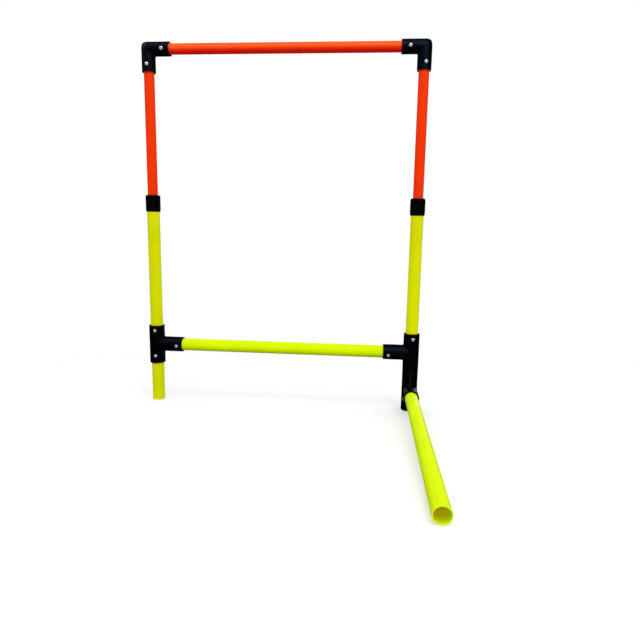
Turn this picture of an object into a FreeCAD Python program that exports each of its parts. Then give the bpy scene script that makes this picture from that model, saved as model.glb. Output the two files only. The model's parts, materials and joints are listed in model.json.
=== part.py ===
import FreeCAD, Part
import math
import os

# A speed hurdle for jump and agility drills, put together from cut plastic tube and moulded fittings.
# A wide lower frame carries a slim upper frame that slides in its posts and is held by two twist collars.
# The right foot turns under its post and holds a leg tube that reaches forward to the floor.
# Everything is drawn square first, with +X to the right, +Y to the back and +Z up the posts, and is then
# set down on the floor the way it stands: on the foot stub, the foot and the far end of the leg.

V = FreeCAD.Vector
right, back, up = V(1, 0, 0), V(0, 1, 0), V(0, 0, 1)
left, front, down = V(-1, 0, 0), V(0, -1, 0), V(0, 0, -1)

# Tubes, in millimetres
tube_od = 25.0            # lower posts, lower crossbar, foot stub and leg
tube_wall = 1.5
slim_od = 20.0            # upper posts and top bar
slim_wall = 1.5
tube_edge = 0.3           # deburred rim of an open tube end

# The frame as it stands in the picture
post_spacing = 534.0      # from post axis to post axis
lower_show = 234.5        # bare lower post between its tee and its collar
upper_show = 235.0        # bare upper post between its collar and its elbow
upper_insert = 40.0       # upper post that reaches down below the collar
leg_reach = 500.0         # from the right post's axis to the open end of the leg

# Tees: both lower corners and the foot
tee_run_od = 31.6
tee_branch_od = 31.0
tee_half_run = 40.0       # from the middle of the tee to the mouth of its run
tee_branch_reach = 57.0   # from the axis of the run to the mouth of the branch
tee_socket = 30.0         # depth of each socket
tee_ledge = 1.0           # how far the stop in a run socket stands inside the tube's own wall
tee_branch_ledge = 1.6    # the same in the branch, whose core is narrower
tee_blend = 3.0           # hollow round between run and branch
tee_edge = 1.0            # round on the rim of each mouth

# Elbows: both top corners
elbow_od = 26.5
elbow_reach = 43.5        # from the corner of the axes to each mouth
elbow_socket = 27.0
elbow_ledge = 1.0
elbow_corner = 9.5        # round outside corner, seen from the front
elbow_crook = 2.0         # round inside corner
elbow_edge = 0.8
elbow_sections = 6

socket_lead = 0.6         # bevel that leads the tube into a socket

# Twist collar and the split ferrule inside it
collar_od = 29.0
collar_height = 33.0
collar_crown = 2.0        # round on the upper end
collar_taper = 1.3        # how far the lower end draws in towards the post
collar_taper_height = 3.2
collar_edge = 0.4         # round on both edges of that taper
collar_lip = 1.4          # height of the lip below the ferrule, that keeps the collar on
ferrule_wall = 0.6        # skirt over the top of the lower post
ferrule_skirt = 16.0
ferrule_rise = 2.0        # from the collar's lower end up to the skirt
ferrule_shoulder = 3.0
finger_height = 9.0
finger_root = 2.5         # thickness of the clamping fingers where they grow from the shoulder
finger_taper = 0.8
finger_gap = 0.3          # between the fingers' cone and the collar's cone when unlocked
finger_slot = 1.2
finger_slots = 4
collar_step_gap = 0.5     # from the shoulder up to the step in the collar

# Guide bush on the lower end of each upper post
bush_length = 20.0

# Blind rivets through a fitting and the tube in it
rivet_head = 6.5
rivet_crown = 1.1
rivet_shank = 3.2
rivet_tail = 4.8
rivet_tail_length = 1.8
mandrel_od = 1.8
mandrel_sunk = 0.4        # broken stem below the top of the head

# Where the rivet holes were drilled, by eye: in from the mouth of the fitting
tee_post_inset = 10.4
tee_stub_inset = 15.8
tee_bar_inset = 10.7
elbow_post_inset = 13.5
left_elbow_bar_inset = 13.4
right_elbow_bar_inset = 16.1
leg_inset = 7.6

# and round from straight ahead, in degrees, to the right on an upright and downwards on the others
left_tee_post_turn = 4.7
left_tee_bar_turn = 6.1
left_tee_stub_turn = 4.7
right_tee_post_turn = 6.6
right_tee_bar_turn = 18.3
left_elbow_bar_turn = 8.5
left_elbow_post_turn = 2.6
right_elbow_bar_turn = 5.8
right_elbow_post_turn = 10.8
leg_turn = 14.1

# Fits and clearances
running_fit = 0.05        # radial, between pieces that slide or turn in each other
collar_clear = 0.3        # radial, between the collar's lip or top hole and the post inside it
swivel_gap = 0.3          # between the foot and the tee above it
nipple_end_gap = 0.5      # between the nipple's lower end and the stop in the foot
overrun = 2.0             # how far a cutting shape runs past the face that it opens
same = 0.001              # two edges this close are one

# Heights above the underside of the foot
tube_id = tube_od - 2 * tube_wall
slim_id = slim_od - 2 * slim_wall
post_x = post_spacing / 2
leg_z = tee_half_run
bar_z = 3 * tee_half_run + swivel_gap
collar_z = bar_z + tee_half_run + lower_show
post_top_z = collar_z + ferrule_rise + ferrule_skirt
upper_end_z = collar_z - upper_insert
top_z = collar_z + collar_height + upper_show + elbow_reach

# How it stands: the leg's socket is higher than its end, so the hurdle leans until the leg's end is down.
foot_pivot = tee_run_od / 2 - tee_edge
lean_run = leg_reach - tube_edge - foot_pivot
lean_drop = leg_z - tube_od / 2 - tee_edge
lean = math.atan2(lean_drop, lean_run) + math.asin(tee_edge / math.hypot(lean_drop, lean_run))
floor_z = tee_edge * math.cos(lean) - foot_pivot * math.sin(lean) - tee_edge
stub_end_z = floor_z / math.cos(lean) + (tube_od / 2 - tube_edge) * math.tan(lean)
back_y = tee_run_od / 2 * math.cos(lean) - tee_edge * math.sin(lean)
front_y = (leg_reach - tube_edge) * math.cos(lean) + (leg_z + tube_od / 2) * math.sin(lean)


def turned(outline):
    """A piece turned about Z from its (radius, height) outline."""
    points = [V(radius, 0, height) for radius, height in outline]
    return Part.Face(Part.makePolygon(points + points[:1])).revolve(V(0, 0, 0), up, 360)


def placed(shape, at, axis, side):
    """A copy with its own Z along axis and its own X along side."""
    copy = shape.copy()
    turn = FreeCAD.Rotation(side, axis.cross(side), axis, "ZXY")
    copy.Placement = FreeCAD.Placement(at, turn).multiply(copy.Placement)
    return copy


def tube(od, wall, length, edge=0):
    """A cut tube up Z from 0. Its far end is deburred where edge isn't 0."""
    outer, inner = od / 2, od / 2 - wall
    outline = [(inner, 0), (outer, 0)]
    if edge:
        outline += [(outer, length - edge), (outer - edge, length)]
        outline += [(inner + edge, length), (inner, length - edge)]
    else:
        outline += [(outer, length), (inner, length)]
    return turned(outline)


def circles_of(shape):
    return [edge for edge in shape.Edges if isinstance(edge.Curve, Part.Circle) and edge.isClosed()]


def rings_at(shape, radius, height):
    """The round edges of one radius at one height, on a piece turned about Z."""
    return [ring for ring in circles_of(shape)
            if abs(ring.Curve.Radius - radius) < same and abs(ring.Curve.Center.z - height) < same]


def socket_cut(radius, depth):
    """What a socket takes away, from its mouth at 0 up Z, with a bevel that leads the tube in."""
    mouth = radius + socket_lead
    outline = [(0, -overrun), (mouth, -overrun), (mouth, 0)]
    outline += [(radius, socket_lead), (radius, depth), (0, depth)]
    return turned(outline)


def tee(upper_clearance):
    """A moulded tee: run along Z, branch along +X, three sockets with a stop and one open core."""
    run = Part.makeCylinder(tee_run_od / 2, 2 * tee_half_run, down * tee_half_run, up)
    branch = Part.makeCylinder(tee_branch_od / 2, tee_branch_reach, V(0, 0, 0), right)
    body = run.fuse(branch).removeSplitter()
    seam = [edge for edge in body.Edges if not isinstance(edge.Curve, (Part.Circle, Part.Line))]
    body = body.makeFillet(tee_blend, seam)
    body = body.makeFillet(tee_edge, circles_of(body))
    radius = tube_od / 2
    core = tube_id / 2 - tee_ledge
    body = body.cut(placed(socket_cut(radius + upper_clearance, tee_socket), up * tee_half_run, down, right))
    body = body.cut(placed(socket_cut(radius, tee_socket), down * tee_half_run, up, right))
    body = body.cut(placed(socket_cut(radius, tee_socket), right * tee_branch_reach, left, up))
    body = body.cut(Part.makeCylinder(core, 2 * tee_half_run, down * tee_half_run, up))
    body = body.cut(Part.makeCylinder(tube_id / 2 - tee_branch_ledge, tee_branch_reach, V(0, 0, 0), right))
    return body.Solids[0]


def elbow_bend():
    """The bend between the arms: oval slices fanned about the crook, wider towards the outside corner."""
    radius = elbow_od / 2
    crook = V(radius + elbow_crook, 0, -radius - elbow_crook)
    span = elbow_od + elbow_crook
    slices = []
    for index in range(elbow_sections + 1):
        angle = math.pi / 2 * index / elbow_sections
        ray = V(-math.sin(angle), 0, math.cos(angle))
        steep, flat = max(math.sin(angle), math.cos(angle)), min(math.sin(angle), math.cos(angle))
        if span * flat <= (span - elbow_corner) * steep:
            reach = span / steep
        else:
            along = (span - elbow_corner) * (steep + flat)
            reach = along + math.sqrt(along ** 2 - 2 * (span - elbow_corner) ** 2 + elbow_corner ** 2)
        middle = crook + ray * ((elbow_crook + reach) / 2)
        oval = Part.Ellipse(crook + ray * reach, middle + back * radius, middle)
        slices.append(Part.Wire(oval.toShape()))
    return Part.makeLoft(slices, True, False)


def elbow():
    """A moulded elbow: one arm along +X for the top bar, one along -Z for the post."""
    radius = elbow_od / 2
    start = radius + elbow_crook
    body = elbow_bend()
    body = body.fuse(Part.makeCylinder(radius, elbow_reach - start, right * start, right))
    body = body.fuse(Part.makeCylinder(radius, elbow_reach - start, down * start, down))
    mouths = [ring for ring in circles_of(body)
              if max(ring.Curve.Center.x, -ring.Curve.Center.z) > (start + elbow_reach) / 2]
    body = body.makeFillet(elbow_edge, mouths)
    core = slim_id / 2 - elbow_ledge
    for arm, side in ((right, up), (down, right)):
        body = body.cut(placed(socket_cut(slim_od / 2, elbow_socket), arm * elbow_reach, arm * -1, side))
        body = body.cut(Part.makeCylinder(core, elbow_reach, V(0, 0, 0), arm))
    return body.Solids[0]


def lock_ferrule():
    """Split ferrule: a skirt over the lower post's top, a shoulder on its end and fingers round the
    upper post. Its 0 is the lower end of the skirt."""
    bore = slim_od / 2 + running_fit
    skirt = tube_od / 2 + ferrule_wall
    shoulder_top = ferrule_skirt + ferrule_shoulder
    top = shoulder_top + finger_height
    outline = [(tube_od / 2, 0), (skirt, 0), (skirt, shoulder_top), (bore + finger_root, shoulder_top)]
    outline += [(bore + finger_root - finger_taper, top), (bore, top), (bore, ferrule_skirt)]
    outline += [(tube_od / 2, ferrule_skirt)]
    body = turned(outline)
    slot = Part.makeBox(tube_od, finger_slot, finger_height + overrun, V(0, -finger_slot / 2, shoulder_top))
    for index in range(finger_slots):
        cut = slot.copy()
        cut.rotate(V(0, 0, 0), up, 360 * index / finger_slots)
        body = body.cut(cut)
    return body.Solids[0]


def lock_collar():
    """Plain twist collar: a lip round the lower post, a straight bore on the ferrule, then a cone over
    its fingers. Its upper end is rounded and its lower end draws in."""
    lip = tube_od / 2 + collar_clear
    skirt = tube_od / 2 + ferrule_wall + running_fit
    step = ferrule_rise + ferrule_skirt + ferrule_shoulder + collar_step_gap
    cone_top = ferrule_rise + ferrule_skirt + ferrule_shoulder + finger_height + collar_step_gap
    cone_foot = slim_od / 2 + running_fit + finger_root + finger_gap
    hole = slim_od / 2 + collar_clear
    outer = collar_od / 2
    outline = [(lip, 0), (outer - collar_taper, 0), (outer, collar_taper_height), (outer, collar_height)]
    outline += [(hole, collar_height), (hole, cone_top), (cone_foot - finger_taper, cone_top)]
    outline += [(cone_foot, step), (skirt, step), (skirt, collar_lip), (lip, collar_lip)]
    body = turned(outline)
    body = body.makeFillet(collar_crown, rings_at(body, outer, collar_height))
    ends = rings_at(body, outer - collar_taper, 0) + rings_at(body, outer, collar_taper_height)
    return body.makeFillet(collar_edge, ends).Solids[0]


def guide_bush():
    """Sleeve on the lower end of an upper post, a sliding fit in the lower post."""
    outer = tube_id / 2 - running_fit
    return turned([(slim_od / 2, 0), (outer, 0), (outer, bush_length), (slim_od / 2, bush_length)])


def blind_rivet(fitting_od, bore):
    """A set blind rivet, its broken stem and the hole drilled for it, for a fitting along X. The head is
    up Z and sits down round the fitting, and the tail spreads against the inside of the tube."""
    outer, inner = fitting_od / 2, bore / 2
    half = rivet_head / 2
    dome = (half ** 2 + rivet_crown ** 2) / (2 * rivet_crown)
    sink = outer - math.sqrt(outer ** 2 - half ** 2) + rivet_crown
    top = outer + rivet_crown
    foot = inner - rivet_tail_length
    head = Part.makeCylinder(half, top - outer + sink, up * (outer - sink), up)
    head = head.common(Part.makeSphere(dome, up * (top - dome)))
    head = head.cut(Part.makeCylinder(outer, 2 * rivet_head, left * rivet_head, right))
    tail = Part.makeCylinder(rivet_tail / 2, rivet_tail_length, up * foot, up)
    tail = tail.common(Part.makeCylinder(inner, 2 * rivet_head, left * rivet_head, right))
    shank = Part.makeCylinder(rivet_shank / 2, outer - foot, up * foot, up)
    stem = Part.makeCylinder(mandrel_od / 2, top - mandrel_sunk - foot, up * foot, up)
    hole = Part.makeCylinder(mandrel_od / 2, top + overrun - foot, up * foot, up)
    rivet = shank.fuse([head, tail]).removeSplitter().cut(hole)
    drill = Part.makeCylinder(rivet_shank / 2, outer + overrun - foot, up * foot, up)
    return rivet.Solids[0], stem, drill


nodes = {}

# Lower frame: crossbar between two tees, posts up from them, a stub down from the left one
bar_start = tee_branch_reach - tee_socket
nodes["left_lower_tee"] = placed(tee(0), V(-post_x, 0, bar_z), up, right)
nodes["right_lower_tee"] = placed(tee(0), V(post_x, 0, bar_z), up, left)
bar = tube(tube_od, tube_wall, post_spacing - 2 * bar_start)
nodes["lower_crossbar"] = placed(bar, V(bar_start - post_x, 0, bar_z), right, up)
post_start_z = bar_z + tee_half_run - tee_socket
stub_start_z = bar_z - tee_half_run + tee_socket
stub = tube(tube_od, tube_wall, stub_start_z - stub_end_z, tube_edge)
nodes["left_foot_stub"] = placed(stub, V(-post_x, 0, stub_start_z), down, right)

# Upper frame: top bar between two elbows, slim posts down into the lower ones, a guide bush on each end
top_bar_start = elbow_reach - elbow_socket
nodes["left_top_elbow"] = placed(elbow(), V(-post_x, 0, top_z), up, right)
nodes["right_top_elbow"] = placed(elbow(), V(post_x, 0, top_z), up, left)
top_bar = tube(slim_od, slim_wall, post_spacing - 2 * top_bar_start)
nodes["top_bar"] = placed(top_bar, V(top_bar_start - post_x, 0, top_z), right, up)

for side, x in (("left", -post_x), ("right", post_x)):
    post = tube(tube_od, tube_wall, post_top_z - post_start_z)
    nodes[side + "_lower_post"] = placed(post, V(x, 0, post_start_z), up, right)
    nodes[side + "_lock_ferrule"] = placed(lock_ferrule(), V(x, 0, collar_z + ferrule_rise), up, right)
    nodes[side + "_lock_collar"] = placed(lock_collar(), V(x, 0, collar_z), up, right)
    slim_post = tube(slim_od, slim_wall, top_z - top_bar_start - upper_end_z)
    nodes[side + "_upper_post"] = placed(slim_post, V(x, 0, upper_end_z), up, right)
    nodes[side + "_guide_bush"] = placed(guide_bush(), V(x, 0, upper_end_z), up, right)

# Turning foot: a nipple fixed in the right tee, the foot tee on it with its branch to the front, and the leg
nipple_end_z = leg_z + tee_half_run - tee_socket + nipple_end_gap
nipple = tube(tube_od, tube_wall, stub_start_z - nipple_end_z)
nodes["swivel_nipple"] = placed(nipple, V(post_x, 0, nipple_end_z), up, right)
nodes["foot_tee"] = placed(tee(running_fit), V(post_x, 0, leg_z), up, front)
leg = tube(tube_od, tube_wall, leg_reach - bar_start, tube_edge)
nodes["leg_tube"] = placed(leg, V(post_x, -bar_start, leg_z), front, up)

# Rivets: name, diameter of the fitting and bore of the tube, place on their axis, straight ahead, the way
# that the axis runs, the turn about it, and the two pieces that the rivet holds together
run, branch, arm = (tee_run_od, tube_id), (tee_branch_od, tube_id), (elbow_od, slim_id)
left_tee, right_tee, foot = V(-post_x, 0, bar_z), V(post_x, 0, bar_z), V(post_x, 0, leg_z)
left_elbow, right_elbow = V(-post_x, 0, top_z), V(post_x, 0, top_z)
post_rise, stub_drop = up * (tee_half_run - tee_post_inset), down * (tee_half_run - tee_stub_inset)
bar_reach, leg_way = tee_branch_reach - tee_bar_inset, front * (tee_branch_reach - leg_inset)
elbow_drop = down * (elbow_reach - elbow_post_inset)
left_arm = right * (elbow_reach - left_elbow_bar_inset)
right_arm = left * (elbow_reach - right_elbow_bar_inset)
rivets = [
    ("left_tee_post", run, left_tee + post_rise, front, up, left_tee_post_turn,
     "left_lower_tee", "left_lower_post"),
    ("left_tee_bar", branch, left_tee + right * bar_reach, front, right, left_tee_bar_turn,
     "left_lower_tee", "lower_crossbar"),
    ("left_tee_stub", run, left_tee + stub_drop, front, up, left_tee_stub_turn,
     "left_lower_tee", "left_foot_stub"),
    ("right_tee_post", run, right_tee + post_rise, front, up, right_tee_post_turn,
     "right_lower_tee", "right_lower_post"),
    ("right_tee_bar", branch, right_tee + left * bar_reach, front, right, right_tee_bar_turn,
     "right_lower_tee", "lower_crossbar"),
    ("left_elbow_bar", arm, left_elbow + left_arm, front, right, left_elbow_bar_turn,
     "left_top_elbow", "top_bar"),
    ("left_elbow_post", arm, left_elbow + elbow_drop, front, up, left_elbow_post_turn,
     "left_top_elbow", "left_upper_post"),
    ("right_elbow_bar", arm, right_elbow + right_arm, front, right, right_elbow_bar_turn,
     "right_top_elbow", "top_bar"),
    ("right_elbow_post", arm, right_elbow + elbow_drop, front, up, right_elbow_post_turn,
     "right_top_elbow", "right_upper_post"),
    ("leg", branch, foot + leg_way, left, front, leg_turn, "foot_tee", "leg_tube"),
]
for name, (fitting_od, bore), at, ahead, along, turn, *held in rivets:
    rivet, stem, drill = blind_rivet(fitting_od, bore)
    facing = FreeCAD.Rotation(along, turn).multVec(ahead)
    for piece in held:
        nodes[piece] = nodes[piece].cut(placed(drill, at, facing, along)).Solids[0]
    nodes[name + "_rivet"] = placed(rivet, at, facing, along)
    nodes[name + "_mandrel"] = placed(stem, at, facing, along)

# Set down on the floor, leaning on the leg, with the middle of its footprint at the origin
os.makedirs("parts", exist_ok=True)
for name, shape in nodes.items():
    shape.rotate(V(0, 0, 0), right, math.degrees(lean))
    shape.translate(V(0, (front_y - back_y) / 2, -floor_z))
    shape.exportStep("parts/" + name + ".step")
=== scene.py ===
import json
import math
import random

import bmesh
import bpy
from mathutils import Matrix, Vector


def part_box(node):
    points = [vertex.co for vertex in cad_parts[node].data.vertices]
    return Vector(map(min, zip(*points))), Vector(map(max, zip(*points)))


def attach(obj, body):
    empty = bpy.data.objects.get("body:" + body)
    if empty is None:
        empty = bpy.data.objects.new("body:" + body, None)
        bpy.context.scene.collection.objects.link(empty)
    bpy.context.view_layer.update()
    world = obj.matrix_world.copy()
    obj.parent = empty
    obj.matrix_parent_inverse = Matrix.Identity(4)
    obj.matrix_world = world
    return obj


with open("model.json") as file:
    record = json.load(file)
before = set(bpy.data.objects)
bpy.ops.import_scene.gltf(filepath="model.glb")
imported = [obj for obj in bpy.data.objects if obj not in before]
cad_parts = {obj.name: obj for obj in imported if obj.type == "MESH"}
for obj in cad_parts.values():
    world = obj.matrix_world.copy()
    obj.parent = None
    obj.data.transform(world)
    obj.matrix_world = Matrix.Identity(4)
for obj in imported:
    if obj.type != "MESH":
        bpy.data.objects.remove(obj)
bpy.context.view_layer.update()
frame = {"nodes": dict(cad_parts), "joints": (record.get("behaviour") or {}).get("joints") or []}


# Yellow tubes: both lower posts, the crossbar, the foot stub, the leg and the nipple hidden in the foot.
# Each is a length of extruded PVC tube, coloured right through with a fluorescent pigment, sawn off square
# and pushed into its fittings. The bar and the leg are given a greener, brighter yellow than the uprights:
# painted light, for the cool light that falls on them from above.

pieces = frame["nodes"]
joints = {joint["name"]: joint for joint in frame["joints"]}
up = Vector(joints["height_slide"]["axis"])   # up the posts, which lean a little to the front
lean = math.atan2(-up.y, up.z)
along_x, along_y, along_z = 0, 1, 2
wave_repeat = math.pi / 10   # the distance from crest to crest in a wave texture of scale 1


def linear(hex_colour):
    """A colour written as sRGB hex, in the linear numbers that a shader takes."""
    levels = [int(hex_colour[start:start + 2], 16) / 255 for start in (1, 3, 5)]
    light = [level / 12.92 if level <= 0.04045 else ((level + 0.055) / 1.055) ** 2.4 for level in levels]
    opaque = 1
    return light + [opaque]


def add_node(owner, kind, settings, inputs):
    """Adds one node to a material or world. An input is a number, a colour, another node, which links
    its first output, or any one output."""
    node = owner.node_tree.nodes.new(kind)
    for setting, value in settings.items():
        setattr(node, setting, value)
    for socket, value in inputs.items():
        if isinstance(value, bpy.types.Node):
            value = value.outputs[0]
        if isinstance(value, bpy.types.NodeSocket):
            owner.node_tree.links.new(value, node.inputs[socket])
        else:
            node.inputs[socket].default_value = value
    return node


def new_material(name):
    """A material with no nodes in it yet."""
    material = bpy.data.materials.new(name)
    material.use_nodes = True
    material.node_tree.nodes.clear()
    return material


def dress(material, *names):
    """Gives each named piece this one material."""
    for name in names:
        pieces[name].data.materials.clear()
        pieces[name].data.materials.append(material)


def extruded_pvc(name, along, body, painted_top_light, painted_under_shade, sawn_end_and_glow, painted_bore_glow, gloss, gloss_tint):
    """Extruded PVC with a soft gloss: faint streaks from the die run down its length, the pigment lies
    a little unevenly, handling dulls it in patches, and the sawn ends are dull and paler, partly from the
    rough cut and partly a painted glow of the fluorescent cut edge. Light and shade are painted in too:
    paler on top, deeper underneath, and deeper with a faint glow inside the bore."""
    streak_width = 0.0045    # metres; real die lines are about 0.3 mm, drawn wider so that they show
    streak_length = 0.6
    cloud_size = 0.06
    pigment_shade = "#DCDCD0"
    rub_size = 0.018
    tooth_mark = 0.0012      # the saw's real marks are about 0.4 mm, drawn wider so that they show
    mark_depth = 0.00012
    bore_look = 0.03         # how far a face looks for open space; one inside the tube finds little
    end_on = 0.6             # a face that points along the tube by more than this is a sawn end
    painted_glow_share = 0.52        # the share of the painted glow that is emitted, for the light that shines through the wall
    fresh, handled, cut = 0.3, 0.42, 0.65   # roughness of the skin, of its rubbed patches and of the ends
    material = new_material(name)

    # The posts lean, so the patterns lean with them, and so does the reading of which way a face points.
    place = add_node(material, "ShaderNodeTexCoord", {}, {})
    upright = add_node(material, "ShaderNodeVectorRotate", {"rotation_type": "X_AXIS"},
                       {"Vector": place.outputs["Object"], "Angle": -lean})
    facing = add_node(material, "ShaderNodeVectorRotate", {"rotation_type": "X_AXIS"},
                      {"Vector": place.outputs["Normal"], "Angle": -lean})
    ways = add_node(material, "ShaderNodeSeparateXYZ", {}, {"Vector": facing})

    # Painted light and shade: faces that point up are painted paler, as if lit from above, and faces that
    # point down deeper, as if in shade.
    top_light_share = add_node(material, "ShaderNodeMapRange", {},
                      {"Value": ways.outputs["Z"], "From Min": -0.35, "From Max": 0.2})
    painted_lit_colour = add_node(material, "ShaderNodeMixRGB", {},
                   {"Fac": top_light_share, "Color1": linear(body), "Color2": linear(painted_top_light)})
    under_shade_share = add_node(material, "ShaderNodeMapRange", {},
                       {"Value": ways.outputs["Z"], "From Min": -0.3, "From Max": -0.8})
    painted_shaded_colour = add_node(material, "ShaderNodeMixRGB", {},
                      {"Fac": under_shade_share, "Color1": painted_lit_colour, "Color2": linear(painted_under_shade)})

    # Streaks and clouds of pigment together darken the skin a little here and there.
    stretch = [1 / streak_width] * 3
    stretch[along] = 1 / streak_length
    drawn = add_node(material, "ShaderNodeVectorMath", {"operation": "MULTIPLY"}, {0: upright, 1: stretch})
    lines = add_node(material, "ShaderNodeTexNoise", {},
                     {"Vector": drawn, "Scale": 1, "Detail": 4, "Roughness": 0.6})
    clouds = add_node(material, "ShaderNodeTexNoise", {},
                      {"Vector": upright, "Scale": 1 / cloud_size, "Detail": 2})
    uneven = add_node(material, "ShaderNodeMath", {"operation": "MULTIPLY"}, {0: lines, 1: clouds})
    tone = add_node(material, "ShaderNodeMapRange", {},
                    {"Value": uneven, "From Min": 0.12, "From Max": 0.42, "To Max": 0.5})
    skin = add_node(material, "ShaderNodeMixRGB", {"blend_type": "MULTIPLY"},
                    {"Fac": tone, "Color1": painted_shaded_colour, "Color2": linear(pigment_shade)})

    # Sawn ends: the faces that point along the tube.
    endwise = add_node(material, "ShaderNodeMath", {"operation": "ABSOLUTE"}, {0: ways.outputs[along]})
    end = add_node(material, "ShaderNodeMath", {"operation": "GREATER_THAN"}, {0: endwise, 1: end_on})
    # The ends are painted paler, partly for the rough cut and partly a painted glow of the fluorescent cut
    # edge.
    outside = add_node(material, "ShaderNodeMixRGB", {},
                       {"Fac": end, "Color1": skin, "Color2": linear(sawn_end_and_glow)})

    # Painted shade and glow inside an open end: where a face finds little open space, its colour is painted
    # a deeper, warmer tone and given a faint emission, for the light that comes through the thin wall.
    space = add_node(material, "ShaderNodeAmbientOcclusion", {"samples": 8}, {"Distance": bore_look})
    bore_shade_and_glow_share = add_node(material, "ShaderNodeMapRange", {},
                      {"Value": space.outputs["AO"], "From Min": 0.28, "From Max": 0.10})
    colour = add_node(material, "ShaderNodeMixRGB", {},
                      {"Fac": bore_shade_and_glow_share, "Color1": outside, "Color2": linear(painted_bore_glow)})
    painted_glow_strength = add_node(material, "ShaderNodeMath", {"operation": "MULTIPLY"}, {0: bore_shade_and_glow_share, 1: painted_glow_share})

    # Gloss and relief: hands dull the skin in patches, and the sawn ends are duller still.
    rubbed = add_node(material, "ShaderNodeTexNoise", {},
                      {"Vector": upright, "Scale": 1 / rub_size, "Detail": 6, "Roughness": 0.7})
    patches = add_node(material, "ShaderNodeMapRange", {}, {
        "Value": rubbed, "From Min": 0.35, "From Max": 0.7, "To Min": fresh, "To Max": handled})
    dull = add_node(material, "ShaderNodeMapRange", {}, {"Value": end, "To Min": patches, "To Max": cut})
    saw = add_node(material, "ShaderNodeTexWave", {"bands_direction": "DIAGONAL"}, {
        "Vector": upright, "Scale": wave_repeat / tooth_mark, "Distortion": 2, "Detail": 2})
    marks = add_node(material, "ShaderNodeMapRange", {},
                     {"Value": end, "To Min": lines, "To Max": saw.outputs["Fac"]})
    relief = add_node(material, "ShaderNodeBump", {},
                      {"Height": marks, "Strength": 0.35, "Distance": mark_depth})
    shader = add_node(material, "ShaderNodeBsdfPrincipled", {}, {
        "Base Color": colour, "Roughness": dull, "Normal": relief,
        "IOR": 1.53, "Specular IOR Level": gloss, "Specular Tint": linear(gloss_tint),
        "Emission Color": linear(painted_bore_glow), "Emission Strength": painted_glow_strength})
    add_node(material, "ShaderNodeOutputMaterial", {}, {"Surface": shader})
    return material


# The bar and the leg take a greener, brighter copy of the uprights' yellow: painted light from above.
warm_yellow = {"body": "#D6DE00", "painted_top_light": "#D6DE00", "painted_under_shade": "#C0C800",
               "sawn_end_and_glow": "#DCE424", "painted_bore_glow": "#A8A000", "gloss": 0.06, "gloss_tint": "#FFFF70"}
yellow_painted_top_lit = {"body": "#D0EA00", "painted_top_light": "#D4F000", "painted_under_shade": "#AEC200",
               "sawn_end_and_glow": "#DCF424", "painted_bore_glow": "#AEA000", "gloss": 0.03, "gloss_tint": "#FFFF70"}
dress(extruded_pvc("fluorescent_yellow_pvc_upright", along_z, **warm_yellow),
      "left_lower_post", "right_lower_post", "left_foot_stub", "swivel_nipple")
dress(extruded_pvc("fluorescent_yellow_pvc_crossbar", along_x, **yellow_painted_top_lit), "lower_crossbar")
dress(extruded_pvc("fluorescent_yellow_pvc_leg", along_y, **yellow_painted_top_lit), "leg_tube")


# Orange tubes: both upper posts and the top bar, slimmer tube of the same extruded PVC.
# The posts slide down inside the yellow ones, and their tops and the bar's ends are riveted in the elbows.

orange = {"body": "#F03402", "painted_under_shade": "#D80400",
          "sawn_end_and_glow": "#FF6A30", "painted_bore_glow": "#901000", "gloss": 0.11, "gloss_tint": "#FFC890"}
# The bar is painted paler on top than the posts: a painted highlight where the light from above falls.
dress(extruded_pvc("fluorescent_orange_pvc_upright", along_z, painted_top_light="#F03402", **orange),
      "left_upper_post", "right_upper_post")
dress(extruded_pvc("fluorescent_orange_pvc_bar", along_x, painted_top_light="#FF5A22", **orange), "top_bar")


# Tees and elbows: the three tees below and the two elbows on top.
# They are moulded in black polypropylene in a two-part mould, so each carries a fine line
# where the halves met, and a small scar where the plastic came in.


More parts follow.
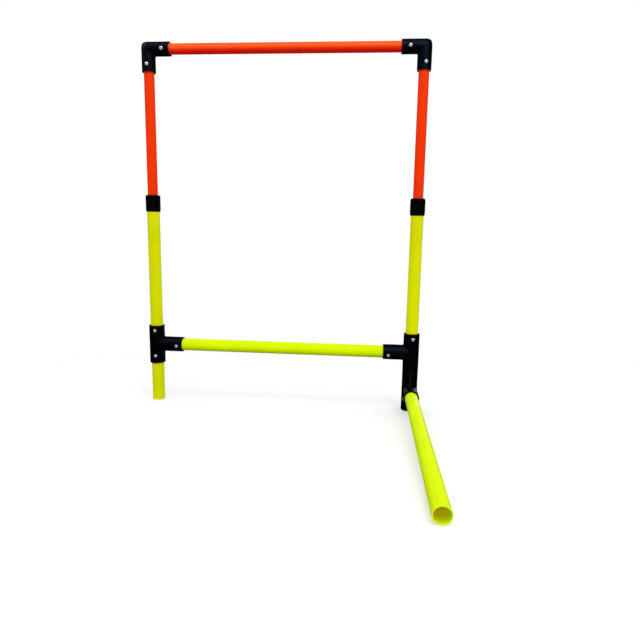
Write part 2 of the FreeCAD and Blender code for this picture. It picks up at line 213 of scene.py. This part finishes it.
def moulded_polypropylene(name, body, edge_wear_and_highlight, dull, bright, gloss):
    """Black polypropylene from a spark-etched mould: a fine grain under a satin sheen, which varies in
    patches from dull to bright, and a lighter tone on the edges, partly wear where hands and floors rub
    and partly a painted highlight where the edges catch the light."""
    etch = 0.0009      # metres; the real etch is about 0.3 mm, drawn wider so that it shows
    etch_depth = 0.0002
    sheen = 0.025
    sheen_tint = "#A8C4FF"
    edge = 0.0009
    material = new_material(name)
    place = add_node(material, "ShaderNodeTexCoord", {}, {})
    grain = add_node(material, "ShaderNodeTexNoise", {}, {
        "Vector": place.outputs["Object"], "Scale": 1 / etch, "Detail": 3, "Roughness": 0.6})
    patches = add_node(material, "ShaderNodeTexNoise", {}, {
        "Vector": place.outputs["Object"], "Scale": 1 / sheen, "Detail": 4, "Roughness": 0.6})

    # An edge is where the face and its rounded-off self point different ways.
    rounded = add_node(material, "ShaderNodeBevel", {"samples": 4}, {"Radius": edge})
    flat = add_node(material, "ShaderNodeNewGeometry", {}, {})
    agree = add_node(material, "ShaderNodeVectorMath", {"operation": "DOT_PRODUCT"},
                     {0: rounded, 1: flat.outputs["Normal"]})
    rim = add_node(material, "ShaderNodeMapRange", {},
                   {"Value": agree.outputs["Value"], "From Min": 0.995, "From Max": 0.9, "To Max": 0.8})
    # The lighter edge tone: partly wear, partly a painted highlight.
    edge_wear_and_highlight_share = add_node(material, "ShaderNodeMath", {"operation": "MULTIPLY"}, {0: rim, 1: patches})
    colour = add_node(material, "ShaderNodeMixRGB", {},
                      {"Fac": edge_wear_and_highlight_share, "Color1": linear(body), "Color2": linear(edge_wear_and_highlight)})
    satin = add_node(material, "ShaderNodeMapRange", {},
                     {"Value": patches, "From Min": 0.3, "From Max": 0.7, "To Min": dull, "To Max": bright})
    relief = add_node(material, "ShaderNodeBump", {},
                      {"Height": grain, "Strength": 0.7, "Distance": etch_depth})
    shader = add_node(material, "ShaderNodeBsdfPrincipled", {}, {
        "Base Color": colour, "Roughness": satin, "Normal": relief,
        "IOR": 1.49, "Specular IOR Level": gloss, "Specular Tint": linear(sheen_tint)})
    add_node(material, "ShaderNodeOutputMaterial", {}, {"Surface": shader})
    return material


# The tees' and elbows' edge tone is raised to a painted highlight, so that the seam below the right tee
# shows as a light line.
black_fitting = moulded_polypropylene("black_polypropylene_satin", body="#020203", edge_wear_and_highlight="#4A4D53",
                                      dull=0.5, bright=0.4, gloss=0.22)
dress(black_fitting, "left_lower_tee", "right_lower_tee", "foot_tee", "left_top_elbow", "right_top_elbow")

right = Vector((1, 0, 0))
back = up.cross(right)
line_base, line_crest = 0.0005, 0.0002     # half widths of the mould line at its foot and on its top
line_height, line_root = 0.00022, 0.0002   # how far it stands out of the skin, and reaches into it
line_step = 0.003
scar_radius, scar_height, scar_sides = 0.0016, 0.0004, 18
scar_section = ((1.0, -line_root), (1.0, 0.6 * scar_height),
                (0.86, scar_height), (0.4, 0.7 * scar_height))   # shares of the radius, and heights
ragged_least, ragged_most = 0.93, 1.07
chance = random.Random(7)


def ring_faces(mesh, rings):
    """Joins rings of points into one closed skin, capped at both ends."""
    for ring, next_ring in zip(rings, rings[1:]):
        for here in range(len(ring)):
            beside = (here + 1) % len(ring)
            mesh.faces.new((ring[here], ring[beside], next_ring[beside], next_ring[here]))
    mesh.faces.new(reversed(rings[0]))
    mesh.faces.new(rings[-1])


def mould_line(mesh, fitting, path, across):
    """A low ridge along a path, laid on the fitting's own skin and dying away at both ends."""
    rings = []
    for step, point in enumerate(path):
        spot, normal = pieces[fitting].closest_point_on_mesh(point)[1:3]
        rise = line_height if 0 < step < len(path) - 1 else 0
        section = ((-line_base, -line_root), (-line_crest, rise),
                   (line_crest, rise), (line_base, -line_root))
        rings.append([mesh.verts.new(spot + across * side + normal * lift) for side, lift in section])
    ring_faces(mesh, rings)


def gate_scar(mesh, fitting, point):
    """The stub of the plastic's way in, cut off by hand: a small, slightly ragged disc."""
    spot, normal = pieces[fitting].closest_point_on_mesh(point)[1:3]
    faces_sideways = abs(normal.x) >= 0.7
    side = normal.cross(up if faces_sideways else right).normalized()
    other = normal.cross(side)
    ragged = [chance.uniform(ragged_least, ragged_most) for corner in range(scar_sides)]
    rings = []
    for share, lift in scar_section:
        ring = []
        for corner in range(scar_sides):
            turn = 2 * math.pi * corner / scar_sides
            outward = side * math.cos(turn) + other * math.sin(turn)
            reach_out = outward * scar_radius * share * ragged[corner]
            ring.append(mesh.verts.new(spot + reach_out + normal * lift))
        rings.append(ring)
    ring_faces(mesh, rings)


def moulded_marks(fitting, body, material, lines, across, gate):
    """One piece for each fitting that holds its mould line and its gate scar."""
    mesh = bmesh.new()
    for path in lines:
        mould_line(mesh, fitting, path, across)
    gate_scar(mesh, fitting, gate)
    bmesh.ops.recalc_face_normals(mesh, faces=mesh.faces)
    data = bpy.data.meshes.new(fitting + "_mould_marks")
    mesh.to_mesh(data)
    mesh.free()
    data.materials.append(material)
    piece = bpy.data.objects.new(fitting + "_mould_marks", data)
    bpy.context.scene.collection.objects.link(piece)
    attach(piece, body)


def traced(corner, along, rise, outline):
    """Points of a flat outline in space, about one line step apart."""
    points = []
    for (start_u, start_v), (end_u, end_v) in zip(outline, outline[1:]):
        way_u, way_v = end_u - start_u, end_v - start_v
        steps = max(1, round(math.hypot(way_u, way_v) / line_step))
        for step in range(steps):
            points.append((start_u + way_u * step / steps, start_v + way_v * step / steps))
    return [corner + along * u + rise * v for u, v in points + [outline[-1]]]


def quarter(centre_u, centre_v, radius, start):
    """A quarter turn of an outline, anticlockwise from a start angle in degrees."""
    steps = 6
    turns = [math.radians(start + 90 * step / steps) for step in range(steps + 1)]
    return [(centre_u + radius * math.cos(turn), centre_v + radius * math.sin(turn)) for turn in turns]


def middle_of(name):
    """The middle of a piece's box."""
    low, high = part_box(name)
    return (low + high) / 2


# The tees' outlines, in metres from where their axes cross, along the branch and up the run
run, branch, half_run, reach = 0.0158, 0.0155, 0.040, 0.057
blend, mouth = 0.003, 0.002
tee_back = [(-run, mouth - half_run), (-run, half_run - mouth)]
tee_above = [(reach - mouth, branch)]
tee_above += quarter(run + blend, branch + blend, blend, start=180)[::-1]
tee_above += [(run, half_run - mouth)]
tee_below = [(u, -v) for u, v in tee_above]
left_x = joints["left_collar_twist"]["pos_m"][0]
right_x = joints["right_collar_twist"]["pos_m"][0]
lower_bar = middle_of("lower_crossbar")
for fitting, body, corner, along, gate_side in (
        ("left_lower_tee", "lower_frame", Vector((left_x, lower_bar.y, lower_bar.z)), right, back),
        ("right_lower_tee", "lower_frame", Vector((right_x, lower_bar.y, lower_bar.z)), -right, back),
        ("foot_tee", "swivel_foot", Vector(joints["foot_swivel"]["pos_m"]), -back, right)):
    tee_lines = [traced(corner, along, up, outline) for outline in (tee_back, tee_above, tee_below)]
    moulded_marks(fitting, body, black_fitting, tee_lines, up.cross(along),
                  corner + gate_side * run)

# The elbows' outlines, measured the same way
arm, arm_reach, round_corner, crook = 0.01325, 0.0435, 0.0095, 0.002
elbow_outside = [(arm_reach - mouth, arm)]
elbow_outside += quarter(round_corner - arm, arm - round_corner, round_corner, start=90)
elbow_outside += [(-arm, mouth - arm_reach)]
elbow_inside = [(arm_reach - mouth, -arm)]
elbow_inside += quarter(arm + crook, -arm - crook, crook, start=90)
elbow_inside += [(arm, mouth - arm_reach)]
top_bar = middle_of("top_bar")
for fitting, along, post_x in (("left_top_elbow", right, left_x), ("right_top_elbow", -right, right_x)):
    corner = Vector((post_x, top_bar.y, top_bar.z))
    elbow_lines = [traced(corner, along, up, outline) for outline in (elbow_outside, elbow_inside)]
    moulded_marks(fitting, "upper_frame", black_fitting, elbow_lines, back,
                  corner + back * arm)


# Lock collars: the two plain rings that are twisted to grip the upper posts.
# They are moulded in the same black plastic, a little duller, and the split ferrule inside each one
# keeps it on its post.

black_collar = moulded_polypropylene("black_polypropylene_dull", body="#020202", edge_wear_and_highlight="#202226",
                                     dull=0.5, bright=0.4, gloss=0.12)
dress(black_collar, "left_lock_collar", "right_lock_collar")
collar, collar_height = 0.0145, 0.033
line_foot, line_top = 0.005, 0.029
collar_line = [(collar, line_foot), (collar, line_top)]
for side in ("left", "right"):
    foot = Vector(joints[side + "_collar_twist"]["pos_m"])
    collar_lines = [traced(foot, way, up, collar_line) for way in (right, -right)]
    moulded_marks(side + "_lock_collar", side + "_collar", black_collar, collar_lines, back,
                  foot + back * collar + up * collar_height / 2)


# Hidden nylon: the split ferrule in each collar and the guide bush on the foot of each upper post.
# Both are turned from grey nylon rod, which slides without grease.


def turned_nylon(name):
    """Grey nylon straight from the lathe: waxy, a little cloudy, with fine tool rings."""
    tool_ring = 0.0008   # metres; the real feed is about 0.2 mm, drawn wider so that it shows
    ring_depth = 0.00003
    cloud_size = 0.01
    material = new_material(name)
    place = add_node(material, "ShaderNodeTexCoord", {}, {})
    upright = add_node(material, "ShaderNodeVectorRotate", {"rotation_type": "X_AXIS"},
                       {"Vector": place.outputs["Object"], "Angle": -lean})
    rings = add_node(material, "ShaderNodeTexWave", {"bands_direction": "Z"},
                     {"Vector": upright, "Scale": wave_repeat / tool_ring})
    clouds = add_node(material, "ShaderNodeTexNoise", {},
                      {"Vector": upright, "Scale": 1 / cloud_size, "Detail": 3})
    colour = add_node(material, "ShaderNodeMixRGB", {},
                      {"Fac": clouds, "Color1": linear("#AEADA6"), "Color2": linear("#96958E")})
    waxy = add_node(material, "ShaderNodeMapRange", {},
                    {"Value": clouds, "From Min": 0.3, "From Max": 0.7, "To Min": 0.4, "To Max": 0.5})
    relief = add_node(material, "ShaderNodeBump", {},
                      {"Height": rings.outputs["Fac"], "Strength": 0.3, "Distance": ring_depth})
    shader = add_node(material, "ShaderNodeBsdfPrincipled", {},
                      {"Base Color": colour, "Roughness": waxy, "Normal": relief, "IOR": 1.53})
    add_node(material, "ShaderNodeOutputMaterial", {}, {"Surface": shader})
    return material


dress(turned_nylon("grey_nylon_turned"),
      "left_lock_ferrule", "right_lock_ferrule", "left_guide_bush", "right_guide_bush")


# Blind rivets: ten domed aluminium rivets that pin the tubes in their fittings.
# They are pulled from outside, so each dome shows the dark steel stem where it snapped off.


def bright_aluminium(name, facing):
    """Cold-headed aluminium under its thin oxide skin: bright but soft, with faint rings from the
    heading tool and small dents from setting."""
    head = 0.0065
    tool_ring = 0.0007   # metres; the real rings are about 0.2 mm, drawn wider so that they show
    ring_share = 0.3     # how deep the rings are beside the dents
    dent = 0.0012
    dent_depth = 0.00008
    material = new_material(name)
    place = add_node(material, "ShaderNodeTexCoord", {}, {})
    centred = add_node(material, "ShaderNodeVectorMath", {"operation": "SUBTRACT"},
                       {0: place.outputs["Generated"], 1: (0.5, 0.5, 0.5)})
    rings = add_node(material, "ShaderNodeTexWave", {"wave_type": "RINGS", "rings_direction": facing},
                     {"Vector": centred, "Scale": wave_repeat * head / tool_ring})
    dents = add_node(material, "ShaderNodeTexNoise", {},
                     {"Vector": place.outputs["Object"], "Scale": 1 / dent, "Detail": 2})
    colour = add_node(material, "ShaderNodeMixRGB", {},
                      {"Fac": dents, "Color1": linear("#F8F9FA"), "Color2": linear("#E6E8EA")})
    bright = add_node(material, "ShaderNodeMapRange", {},
                      {"Value": dents, "From Min": 0.3, "From Max": 0.7, "To Min": 0.38, "To Max": 0.5})
    both = add_node(material, "ShaderNodeMath", {"operation": "MULTIPLY_ADD"},
                    {0: rings.outputs["Fac"], 1: ring_share, 2: dents})
    relief = add_node(material, "ShaderNodeBump", {},
                      {"Height": both, "Strength": 0.25, "Distance": dent_depth})
    shader = add_node(material, "ShaderNodeBsdfPrincipled", {},
                      {"Base Color": colour, "Roughness": bright, "Normal": relief, "Metallic": 0.65})
    add_node(material, "ShaderNodeOutputMaterial", {}, {"Surface": shader})
    return material


front_rivets = ["left_tee_post", "left_tee_bar", "left_tee_stub", "right_tee_post", "right_tee_bar",
                "left_elbow_bar", "left_elbow_post", "right_elbow_bar", "right_elbow_post"]
dress(bright_aluminium("bright_aluminium_rivet", "Y"), *[name + "_rivet" for name in front_rivets])
dress(bright_aluminium("bright_aluminium_leg_rivet", "X"), "leg_rivet")


def snapped_steel(name):
    """Zinc-plated steel wire, torn off: dark, grey and rough at the break."""
    torn = 0.0006   # metres; the real tear is about 0.2 mm, drawn wider so that it shows
    tear_depth = 0.0002
    material = new_material(name)
    place = add_node(material, "ShaderNodeTexCoord", {}, {})
    tear = add_node(material, "ShaderNodeTexNoise", {},
                    {"Vector": place.outputs["Object"], "Scale": 1 / torn, "Detail": 3})
    colour = add_node(material, "ShaderNodeMixRGB", {},
                      {"Fac": tear, "Color1": linear("#6A6C70"), "Color2": linear("#3E4044")})
    rough = add_node(material, "ShaderNodeMapRange", {},
                     {"Value": tear, "From Min": 0.3, "From Max": 0.7, "To Min": 0.35, "To Max": 0.6})
    relief = add_node(material, "ShaderNodeBump", {},
                      {"Height": tear, "Strength": 0.8, "Distance": tear_depth})
    shader = add_node(material, "ShaderNodeBsdfPrincipled", {},
                      {"Base Color": colour, "Roughness": rough, "Normal": relief, "Metallic": 1})
    add_node(material, "ShaderNodeOutputMaterial", {}, {"Surface": shader})
    return material


dress(snapped_steel("zinc_plated_steel_stem"), *[name + "_mandrel" for name in front_rivets + ["leg"]])


# Floor: a matt white studio floor that the hurdle stands on.
# It takes the hurdle's soft shadow, and fades into the white of the dome around it so that no edge shows.

floor_half = 20
fade_start, fade_end = 0.45, 1.3   # metres from the middle
middle_fade = 0.35
floor_mesh = bpy.data.meshes.new("floor")
floor_mesh.from_pydata([(-floor_half, -floor_half, 0), (floor_half, -floor_half, 0),
                        (floor_half, floor_half, 0), (-floor_half, floor_half, 0)], [], [(0, 1, 2, 3)])
floor = bpy.data.objects.new("floor", floor_mesh)
bpy.context.scene.collection.objects.link(floor)
matt_paint = new_material("white_matt_floor_paint")
floor_place = add_node(matt_paint, "ShaderNodeTexCoord", {}, {})
from_middle = add_node(matt_paint, "ShaderNodeVectorMath", {"operation": "LENGTH"},
                       {0: floor_place.outputs["Object"]})
fade = add_node(matt_paint, "ShaderNodeMapRange", {"interpolation_type": "SMOOTHSTEP"},
                {"Value": from_middle.outputs["Value"], "From Min": fade_start, "From Max": fade_end,
                 "To Min": middle_fade})
painted = add_node(matt_paint, "ShaderNodeBsdfPrincipled", {}, {
    "Base Color": linear("#F4F4F4"), "Roughness": 0.9, "Specular IOR Level": 0.1})
nothing = add_node(matt_paint, "ShaderNodeBsdfTransparent", {}, {})
shown = add_node(matt_paint, "ShaderNodeMixShader", {}, {0: fade, 1: painted, 2: nothing})
add_node(matt_paint, "ShaderNodeOutputMaterial", {}, {"Surface": shown})
floor_mesh.materials.append(matt_paint)
floor.visible_diffuse = False
floor.visible_glossy = False


# Light: a white dome all round, darker below the floor line so that the undersides keep their shade,
# and two large soft lamps above the front, as in a photographer's studio. Three white cards, one high
# on the left and two low behind, add nothing but shine on the plastic and the rivets.

light_above, light_below, seen_white = 0.95, 0.66, 1.0
dome = bpy.data.worlds.new("studio_dome")
dome.use_nodes = True
dome.node_tree.nodes.clear()
outlook = add_node(dome, "ShaderNodeTexCoord", {}, {})
direction = add_node(dome, "ShaderNodeSeparateXYZ", {}, {"Vector": outlook.outputs["Generated"]})
below = add_node(dome, "ShaderNodeMath", {"operation": "LESS_THAN"}, {0: direction.outputs["Z"], 1: 0})
shining = add_node(dome, "ShaderNodeMapRange", {},
                   {"Value": below, "To Min": light_above, "To Max": light_below})
ray = add_node(dome, "ShaderNodeLightPath", {}, {})
strength = add_node(dome, "ShaderNodeMapRange", {},
                    {"Value": ray.outputs["Is Camera Ray"], "To Min": shining, "To Max": seen_white})
white = add_node(dome, "ShaderNodeBackground", {}, {"Color": linear("#FFFFFF"), "Strength": strength})
add_node(dome, "ShaderNodeOutputWorld", {}, {"Surface": white})
dome.cycles_visibility.glossy = False
bpy.context.scene.world = dome

lamp_target = Vector((0, 0.1, 0.4))
for name, width, depth, watts, lights_all, lamp_place in (
        ("front_softbox", 2.0, 1.2, 18.5, True, Vector((0.9, -1.8, 1.75))),
        ("ceiling_panel", 1.6, 0.6, 11.5, True, Vector((0.1, -1.0, 2.25))),
        ("left_card", 1.0, 0.8, 6, False, Vector((-1.3, -0.1, 1.7))),
        ("middle_card", 0.5, 0.6, 0.75, False, Vector((-0.2, 2.1, 0.35))),
        ("right_card", 0.5, 0.6, 2.5, False, Vector((0.75, 2.1, 0.3)))):
    lamp = bpy.data.lights.new(name, "AREA")
    lamp.shape = "RECTANGLE"
    lamp.size = width
    lamp.size_y = depth
    lamp.energy = watts
    lamp.color = linear("#F6FCFF")[:3]
    holder = bpy.data.objects.new(name, lamp)
    holder.location = lamp_place
    holder.rotation_euler = (lamp_target - lamp_place).to_track_quat("-Z", "Y").to_euler()
    holder.visible_camera = False
    holder.visible_diffuse = lights_all
    bpy.context.scene.collection.objects.link(holder)
bpy.context.scene.view_settings.view_transform = "Standard"


# Camera: right of the hurdle's middle, a little below half its height and about a metre from its posts.
# Its place, turn and lens come from the edges of the tubes in the photograph.

camera = bpy.data.objects.new("camera", bpy.data.cameras.new("camera"))
camera.data.sensor_width = 36
camera.data.lens = 30.025
camera.location = (0.1707, -0.85537, 0.2969)
camera.rotation_euler = [math.radians(turn) for turn in (84.004, -1.3269, 4.9459)]
bpy.context.scene.collection.objects.link(camera)
bpy.context.scene.camera = camera
